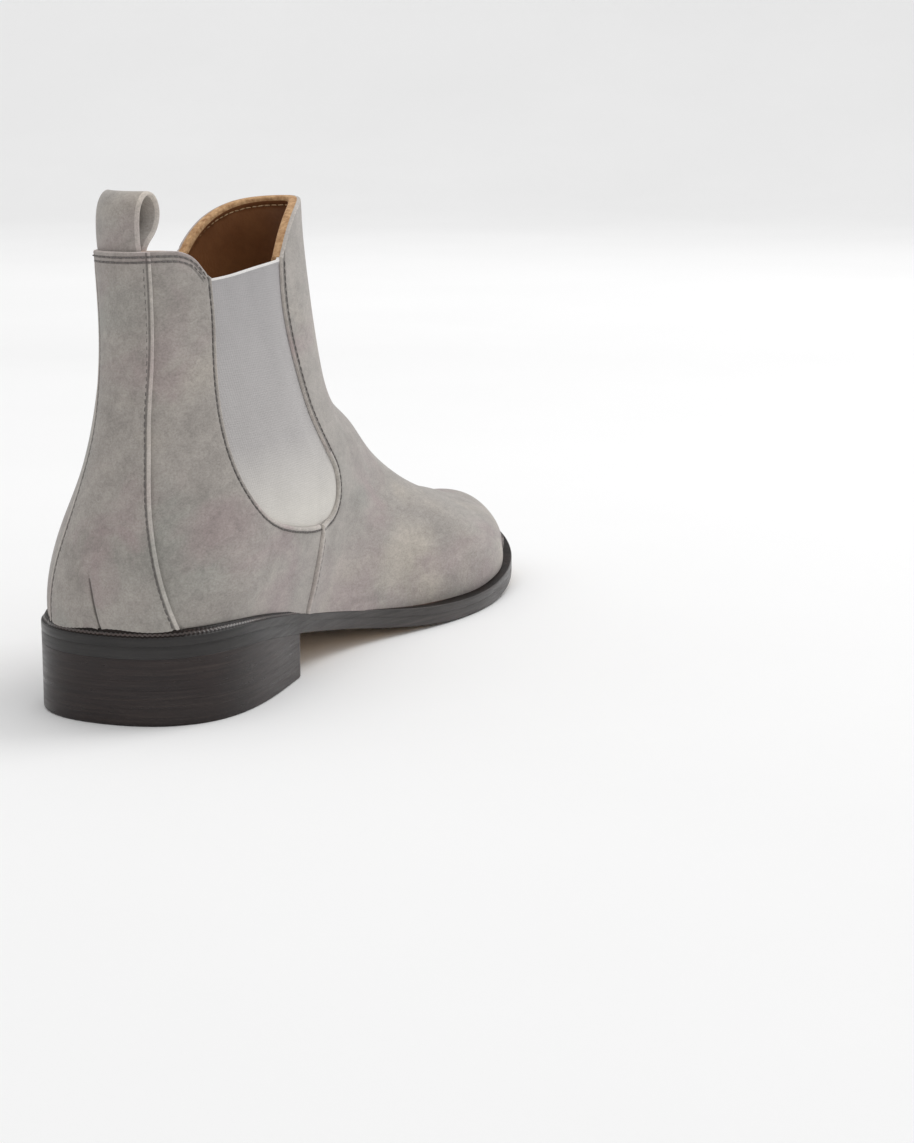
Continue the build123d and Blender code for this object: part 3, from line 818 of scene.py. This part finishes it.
def add_quarter(upper, side):
    """Rear panel of one side, from the backstay to below the vamp."""
    name = SIDE_NAMES[side]
    sheet = trimmed(upper, (MID, 0.0, side), (SEAM, LAP, -1), (GORE_D, 0.0, 1),
                    (GORE_D, EDGE_LEVELS + ROW_LEVELS),
                    (TOP, EDGE_LEVELS + TOP_ROW_LEVELS + [4.8]),
                    (STAYD, [-2.5, -1.0, -0.3, 0.5]), (SEAM, [-2.0, -0.8, 0.0]))
    data = sheet[0]
    z, gore, top, seam = data[:, 2], data[:, GORE_D], data[:, TOP], data[:, SEAM]
    edge = np.minimum(gore, top)
    outer = (soft_waves(data[:, :3]) * share(edge / 10) - rolled(edge)
             + groove(gore, STITCH_IN) - 0.2 * hump(data[:, STAYD], 1.0))
    clear = gore > 3.5
    for row in TOP_ROWS:
        outer = outer + groove(top, row, 0.15) * clear
    outer = outer - 0.25 * share((seam - 0.5) / 1.5) * (z < LAP_TOP + 2)
    # Painted shade: darker suede along the stitch rows' creases, and on the quarter from 0.8 mm
    # behind the vamp's edge to under it.
    top_for_shade = np.where(clear, top, FAR)
    foot = np.where(z < RAW_FOOT["quarter"], gore, FAR)
    shade_under_vamp = np.where(z < LAP_TOP, seam, -FAR)
    bands = row_bands(gore) + [(foot, -1, RAW, 1), (shade_under_vamp, -0.8, 9.0, 2), (top, -1, 0.4, 1)]
    bands += [(top_for_shade, row - TOP_CREASE_SHADE, row + TOP_CREASE_SHADE, 2) for row in TOP_ROWS]
    panel(f"quarter_{name}_suede", sheet, outer, np.minimum(outer - 0.3, -SUEDE), SUEDES, bands,
          replaced=[f"quarter_{name}"], slot="suede")
    row_on(f"stitches_gore_rear_{name}", side_curve(gore_row(False), side), -0.12)


def add_backstay(upper):
    """Strip on top of both quarters, with a dart up from the heel."""
    row = STAY_ROW
    data = upper[0].copy()
    data[:, MID] -= DART_LEAN * (data[:, 2] - DART_FOOT)
    sheet = trimmed((data, upper[1]), (STAYD, 0.0, 1),
                    (STAYD, EDGE_LEVELS + [1.15, row - 0.3, row, row + 0.3, 2.6]),
                    (TOP, EDGE_LEVELS + TOP_ROW_LEVELS),
                    (MID, [-1.6, -0.8, -0.35, 0.0, 0.35, 0.8, 1.6]))
    data = sheet[0]
    stay, top, dart_y, z = data[:, STAYD], data[:, TOP], data[:, MID], data[:, 2]
    edge = np.minimum(stay, top)
    dart = share((DART_TOP - z) / 8)
    outer = (STAY + soft_waves(data[:, :3]) * 0.6 * share(stay / 6)
             - rolled(edge) + groove(stay, row, 0.28, 0.45) + groove(top, TOP_ROWS[0], 0.15)
             + groove(top, TOP_ROWS[1], 0.15)
             + dart * (0.3 * hump(dart_y, 1.8) - hump(dart_y, 0.4)))
    # Painted shade: darker suede in the stitch rows' creases and along the dart's groove.
    dart_shade_band = np.where(z < DART_TOP - 2, np.abs(dart_y), FAR)
    bands = row_bands(stay, 1.15, row, 0.3) + [(top, -1, 0.4, 1), (dart_shade_band, -1, 0.3, 2)]
    bands += [(top, level - TOP_CREASE_SHADE, level + TOP_CREASE_SHADE, 2) for level in TOP_ROWS]
    panel("backstay_suede", sheet, outer, 0.0 * outer + 0.02, SUEDES, bands,
          replaced=["backstay"], slot="suede")
    for name, line, shift in (("medial", STAY_MEDIAL, 1), ("lateral", STAY_LATERAL, -1)):
        line = through(line, 90)
        line = line[(line[:, 1] > 29) & (line[:, 1] < 144)] + [row * shift, 0]
        row_on(f"stitches_backstay_{name}", back_curve(line), STAY - 0.2, radius=0.2)


# ---- elastic gores and linings
GORE_LAP = 4.5            # how far the elastic runs on below the suede
WOVEN_EDGE = 0.9          # its white top edge
RIM_BAND = 1.5            # turned and skived edge of the lining, seen from above
RIM_ROW = 3.2             # stitch row below it


def add_gore(upper, side):
    """Elastic, crowned a little, with a beaded white edge at the topline."""
    name = SIDE_NAMES[side]
    sheet = trimmed(upper, (MID, 0.0, side), (GORE_D, GORE_LAP, -1), (TOP, 0.2, 1),
                    (TOP, [0.5, WOVEN_EDGE, 1.6]))
    top, gore = sheet[0][:, TOP], sheet[0][:, GORE_D]
    crown = 0.6 * share(-gore / 12)
    bead = 0.22 * hump(top - WOVEN_EDGE, 0.5)
    outer = GORE_OUT + crown + bead - rolled(top, 0.5, 0.4)
    panel(f"gore_{name}_elastic", sheet, outer, GORE_IN + crown, ["elastic", "white_thread"],
          [(top, -1, WOVEN_EDGE, 1)], replaced=[f"gore_{name}"], slot="elastic")


def add_linings(upper):
    """Linings, turned out over the upper's edge to a pale cut rim."""
    def lining(name, node, *cuts):
        sheet = trimmed(upper, (GORE_D, 0.35, 1), *cuts,
                        (TOP, [0.12, 0.4, 0.9, 1.6, RIM_BAND, RIM_ROW, 5.0, 8.0]))
        top = sheet[0][:, TOP]
        near = share((2.6 - top) / 1.6)
        outer = LINING_OUT + near * (-LINING_OUT - SUEDE - 0.04)
        bead = 0.9 * share((3.4 - top) / 1.4)
        inner = LINING_IN - bead + rolled(top, 1.2, 0.8) + groove(top, RIM_ROW, -0.15, 0.4)
        panel(name, sheet, outer, inner, ["lining", "cut_leather"], [(top, -1, 5.0, 1)],
              [(top, -1, RIM_BAND, 1)], replaced=[node], slot="lining_leather")

    lining("vamp_lining_leather", "vamp_lining", (SEAM, 0.0, 1))
    for side, name in SIDE_NAMES.items():
        lining(f"quarter_lining_{name}_leather", f"quarter_lining_{name}", (SEAM, 0.0, -1),
               (MID, 0.0, side))


def add_topline_stitches():
    """Two rows below the rear topline, and one in the front panel's rim, on the inside."""
    def part(level, keep):
        """The one stretch of a level curve whose points are kept."""
        v, phi = level_curve(level, np.linspace(0, 2 * pi, 721))
        chosen = keep(last_point(v, phi))
        order = np.roll(np.arange(len(phi)), -np.argmax(~chosen))
        order = order[chosen[order]]
        return v[order], phi[order]

    gore_front, gore_rears = 103, (49.0, 47.6)
    for k, (level, reach) in enumerate(zip(TOP_ROWS, gore_rears)):
        curve = part(level, lambda p: p[:, 0] < reach)
        on_stay = between_edges(last_point(*curve))
        row_on(f"stitches_top_rear_{k + 1}", curve, np.where(on_stay, STAY, 0) - 0.1)
    v, phi = part(RIM_ROW, lambda p: p[:, 0] > gore_front)
    stitch_row("stitches_top_front_inside", last_point(v, phi), -last_normal(v, phi),
               -LINING_IN + 0.1, thread="tan_thread", radius=0.24)


# ---- sole
def tangents(outline):
    """Unit vectors along a closed outline."""
    return unit(np.roll(outline, -1, 0) - np.roll(outline, 1, 0))


def sole_outline(step):
    """Closed smooth plan outline at even steps, with outward normals."""
    points, over = np.array(SOLE_EDGE, float), 4
    wrap = np.vstack([points[-over:], points, points[:over + 1]])
    chord = run_along(wrap)
    at = np.linspace(chord[over], chord[over + len(points)], 1600, endpoint=False)
    dense = natural_spline(chord, wrap, at)
    ring = np.vstack([dense, dense[:1]])
    run = run_along(ring)
    even = np.linspace(0, run[-1], int(round(run[-1] / step)), endpoint=False)
    out = np.stack([np.interp(even, run, ring[:, k]) for k in (0, 1)], 1)
    d = tangents(out)
    return out, np.stack([-d[:, 1], d[:, 0]], 1)


def swept(name, outline, normals, profile, materials, segments, **options):
    """Solid ring: profile(i) gives (outward, z) pairs, segments the material between them."""
    count = len(outline)
    points = [(*(outline[i] + normals[i] * out), z) for i in range(count) for out, z in profile(i)]
    k = len(points) // count
    faces = []
    for i in range(count):
        j = (i + 1) % count
        for a in range(k):
            b = (a + 1) % k
            faces.append([i * k + a, i * k + b, j * k + b, j * k + a])
    return add_object(name, points, faces, materials, indices=list(segments) * count, **options)


NOTCH = 1.6               # pitch of the wheel marks on the welt
WELT_INSIDE = 12.0        # how far in the welt reaches from its edge


def lip_height(x):
    """How far the welt rises from its outer edge to the suede."""
    return np.interp(x, [0, 40, 81, 150, 260, 300], [2.3, 1.6, 1.0, 0.7, 0.9, 1.1])


def suede_foot():
    """Plan line where the suede meets the top of the welt's lip."""
    phis = np.linspace(-pi, pi, 900, endpoint=False)
    v = first_past(phis, 0.5, 10.999,
                   lambda p: p[:, 2] - feather(p[:, 0]) <= lip_height(p[:, 0]))
    line = last_point(v, phis)
    on_stay = between_edges(line, (np.array(STAY_MEDIAL), np.array(STAY_LATERAL)))
    return (line + last_normal(v, phis) * np.where(on_stay, STAY, 0.0)[:, None])[:, :2]


def add_welt():
    """Welt with its wheel marks and the lip that the suede stands in."""
    outline, normals = sole_outline(NOTCH / 4)
    foot = suede_foot()
    ledge = np.maximum(distance(outline, np.vstack([foot, foot[:1]])), 0.9)

    def profile(i):
        x, w = outline[i][0], ledge[i]
        top, lip = feather(x), lip_height(x)
        channel = 0.4 * share((x - 120) / 60)
        dent = 0.38 * (0.5 - 0.5 * cos(pi / 2 * i))
        rows = [(0.0, -2.98), (0.04, -2.94), (0.06, -0.6), (-0.05, -0.2), (-0.3, 0.0 - dent * 0.6),
                (-0.35 * w, 0.3 * lip - dent - channel), (-0.55 * w, 0.6 * lip - dent),
                (-0.78 * w, lip - dent * 0.5), (-w + 0.1, lip - 0.1), (-w - 0.15, lip - 0.8),
                (-w - 0.8, lip - 0.9), (-WELT_INSIDE, -0.05), (-WELT_INSIDE, -2.97)]
        return [(out, top + z) for out, z in rows]

    segments = (0,) * 4 + (1, 2) + (1,) * 7
    swept("welt_leather", outline, normals, profile, ["edge", "welt", "welt_band"], segments,
          replaced=["welt"], slot="dark_leather", sharp=60)


def inset(outline, fraction):
    """Outline drawn in towards the sole's middle line."""
    toe = 15                  # the table's foremost row
    x = np.linspace(0, 300, 121)
    lateral = np.interp(x, *through(SOLE_EDGE[:toe + 1], 200).T)
    medial = np.interp(x, *through([SOLE_EDGE[0]] + SOLE_EDGE[:toe - 1:-1], 200).T)
    core_x = np.clip(outline[:, 0], 14, 286)
    core = np.stack([core_x, np.interp(core_x, x, (lateral + medial) / 2)], 1)
    return outline * (1 - fraction) + core * fraction


def add_outsole():
    """Closed plate: its top's middle, its edge in rows of (outward, height), and its bottom."""
    outline, normals = sole_outline(2.0)
    count = len(outline)
    edge = [(-0.04, -3.0), (0.0, -3.06), (0.05, -4.4), (0.05, -6.0), (-0.05, -6.6), (-0.4, -6.95)]
    free = share((outline[:, :1] - 78) / 6)     # 0 over the heel, where the bevel is slight
    start = outline - normals * 0.5
    flats = [(inset(start, f), -3.02) for f in (0.97, 0.5, 0.1)]
    edges = [(outline + normals * (out if z > -6 else out * (0.1 + 0.9 * free)), z)
             for out, z in edge]
    soles = [(inset(start, f), -WELT - OUTSOLE) for f in (0.04, 0.12, 0.3, 0.55, 0.8, 0.97)]
    rings = [np.column_stack([p, feather(p[:, 0]) + z]) for p, z in flats + edges + soles]
    faces = ring_faces(count, len(rings))
    dark = range((len(flats) - 1) * count, (len(flats) + len(edges)) * count)
    indices = [0 if k in dark else 1 for k in range(len(faces))] + [1, 1]
    add_object("outsole_leather", np.vstack(rings), faces + end_faces(count, len(rings)),
               ["edge", "sole"], replaced=["outsole"], slot="sole_leather", indices=indices)


def heel_outline():
    """Closed outline of the heel: the sole's edge behind the breast, corners eased."""
    corner, bow = 1.2, 1.6
    outline, _ = sole_outline(1.0)
    back = outline[outline[:, 0] < BREAST - corner]
    angle = np.arctan2(back[:, 1], back[:, 0] - 40)
    back = back[np.argsort((angle + 2 * pi) % (2 * pi))]
    lateral, medial = back[back[:, 1] > 0], back[back[:, 1] <= 0]
    y1, y0 = (half[:, 1][np.argmax(half[:, 0])] for half in (lateral, medial))
    across = np.linspace(y0 + corner, y1 - corner, 30)
    hollow = bow * (1 - ((across - (y0 + y1) / 2) / ((y1 - y0) / 2)) ** 2)
    breast = np.column_stack([BREAST - 0.2 - hollow, across])
    return np.vstack([back, [(BREAST - 0.5, y0 + 0.4)], breast, [(BREAST - 0.5, y1 - 0.4)]])


def add_heel():
    """Top piece, lifts and wedge, each a closed slab."""
    outline = heel_outline()
    count = len(outline)
    d = tangents(outline)
    normals = np.stack([d[:, 1], -d[:, 0]], 1)

    def slab(name, low, high, slot, foot=0.03, head=0.03):
        """One layer of the heel, with small bevels at its foot and head."""
        rings = []
        for out, lift, level in ((-foot, 0.0, low), (0.0, foot, low), (0.0, -head, high),
                                 (-head, 0.0, high)):
            p = outline + normals * out
            rings.append(np.column_stack([p, level(p[:, 0]) + lift]))
        faces = ring_faces(count, len(rings)) + end_faces(count, len(rings))
        add_object(name + "_layer", np.vstack(rings), faces, ["espresso"], replaced=[name],
                   slot=slot, sharp=30)

    def flat(z):
        return lambda x: 0 * x + z

    slab("heel_top_piece", flat(0.0), flat(TOP_PIECE), "top_rubber", foot=0.5)
    for i in range(LIFTS):
        z = TOP_PIECE + i * LIFT
        slab(f"heel_lift_{i + 1}", flat(z), flat(z + LIFT), "dark_leather")
    slab("heel_wedge", flat(TOP_PIECE + LIFTS * LIFT), lambda x: feather(x) - WELT - OUTSOLE,
         "dark_leather", head=0.04)


# ---- pull loop
LOOP_Y, LOOP_WIDTH, LOOP_THICK = 3.8, 17.6, 1.5
LOOP_FOOT = 145.0         # height from which the strip widens on its lateral side
# Side view of the strip's middle, forward of the suede's outer face (x, z)
LOOP_PATH = [(2.0, 138), (1.9, 144), (1.1, 149), (0.7, 155), (2.0, 161), (6.4, 164.5),
             (11.4, 163.3), (13.8, 158.4), (11, 152.6), (5.6, 148.2), (3.8, 144), (3.7, 138)]


def add_pull_loop():
    """One suede strip, folded over and sewn in behind the topline, bowed as the heel is."""
    path = through(LOOP_PATH, 90)
    normal = offset_line(path, 1.0) - path
    near = np.array([0, 0.12, 0.4, 0.8, 1.4, 2.4])
    across = np.r_[near, np.linspace(4, LOOP_WIDTH - 4, 9), LOOP_WIDTH - near[::-1]]
    across -= LOOP_WIDTH / 2
    half = LOOP_THICK / 2 - rolled(LOOP_WIDTH / 2 - np.abs(across), 0.8, 0.6)
    at = np.linspace(-8, 17, 26)
    behind = last_point(*back_curve([(y, 147.0) for y in at]))[:, 0]
    points, count, rings = [], 2 * len(across), len(path)
    for (x, z), (nx, nz) in zip(path, normal):
        flare = (0.075 + 0.1 * share((165 - z) / 18)) * share((z - LOOP_FOOT) / 3)
        wide = LOOP_Y + across * (1 + flare * (across > 0))
        ring = [(x + b + nx * h, y, z + nz * h) for sign in (-1, 1)
                for y, h, b in zip(wide, half * sign, np.interp(wide, at, behind))]
        points += ring[:len(across)] + ring[:len(across) - 1:-1]
    raw = [1] * 3 + [0] * (len(across) - 7) + [1] * 3     # the strip's cut edges, across a face
    indices = (raw + [1] + raw[::-1] + [1]) * (rings - 1) + [1, 1]
    faces = ring_faces(count, rings) + end_faces(count, rings)
    made = add_object("pull_loop_suede", points, faces, ["suede", "raw_edge"], body=None,
                      indices=indices, slot="suede", replaced=["pull_loop", "pull_loop_tail"])
    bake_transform(made)


# ---- building the boot
upper = whole_upper()
add_vamp(upper)
for side in SIDE_NAMES:
    add_quarter(upper, side)
    add_gore(upper, side)
add_backstay(upper)
add_linings(upper)
add_topline_stitches()
add_welt()
add_outsole()
add_heel()
add_pull_loop()

KEPT_CAD = {"stiffener": ("vamp_interlining", "toe_puff", "heel_counter"), "steel": ("shank",),
            "insole": ("insole",), "sock": ("sock_liner",), "foam": ("heel_pad",),
            "cork": ("cork_filler",), "nail": ("heel_nails", "top_piece_nails")}
for key, nodes in KEPT_CAD.items():
    for name in nodes:
        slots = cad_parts[name].data.materials
        slots.clear()
        slots.append(MATERIALS[key])


# ---- stage, light, camera
def add_stage():
    """Pale floor, round, that curves up into a low wall far from the boot."""
    m = grainy("floor_paper", (0.905, 0.905, 0.905), (0.925, 0.925, 0.925), 3, 0.95, 1e-5,
               Specular_IOR_Level=0.05)
    flat, bend, steps, around = 3.0, 1.6, 16, 96
    rings = [(r, 0.0) for r in (0.4, 1.2, 2.2, flat)]
    rings += [(flat + bend * sin(pi / 2 * k / steps), bend * (1 - cos(pi / 2 * k / steps)))
              for k in range(1, steps + 1)]
    points = [(r * cos(2 * pi * i / around), r * sin(2 * pi * i / around), z)
              for r, z in rings for i in range(around)]
    mesh = bpy.data.meshes.new("floor")
    faces = [face[::-1] for face in ring_faces(around, len(rings))]
    mesh.from_pydata(points, [], faces + [list(range(around))])
    mesh.shade_smooth()
    mesh.materials.append(m)
    link_object("floor", mesh)


def aim(made, place, direction):
    made.location = place
    made.rotation_euler = Vector(direction).to_track_quat("-Z", "Y").to_euler()


def add_light(name, place, target, size, power):
    data = bpy.data.lights.new(name, "AREA")
    data.shape = "SQUARE"
    data.size = size
    data.energy = power
    aim(link_object(name, data), place, Vector(target) - Vector(place))


# name, place, target (metres), side (metres), power (watts)
LIGHTS = [("key", (1.3, -0.9, 1.9), (0.1, 0, 0.05), 1.2, 16),
          ("top", (0.3, 0.1, 2.4), (0.15, 0, 0.0), 1.6, 10),
          ("backdrop", (1.4, 0.5, 2.2), (4.6, 1.9, 1.5), 2.4, 15)]
SKY = 0.7                 # strength of the white world
# Camera matched to the photograph: place in mm, direction, lens and sensor height in mm
CAMERA_PLACE = metres([(-654.9, -389.9, 197.74)])[0]
CAMERA_LOOK = (0.9077, 0.3725, -0.1934)
LENS, SENSOR_HEIGHT = 77.66, 36.0


def add_camera():
    data = bpy.data.cameras.new("camera")
    data.sensor_fit = "VERTICAL"
    data.sensor_height = SENSOR_HEIGHT
    data.lens = LENS
    made = link_object("camera", data)
    aim(made, CAMERA_PLACE, CAMERA_LOOK)
    bpy.context.scene.camera = made


def add_world():
    world = bpy.data.worlds.new("studio")
    world.use_nodes = True
    background = world.node_tree.nodes["Background"].inputs
    background["Color"].default_value = (1, 1, 1, 1)
    background["Strength"].default_value = SKY
    bpy.context.scene.world = world


add_stage()
add_world()
for light in LIGHTS:
    add_light(*light)
add_camera()
bpy.context.scene.view_settings.view_transform = "Standard"
bpy.context.scene.view_settings.look = "None"
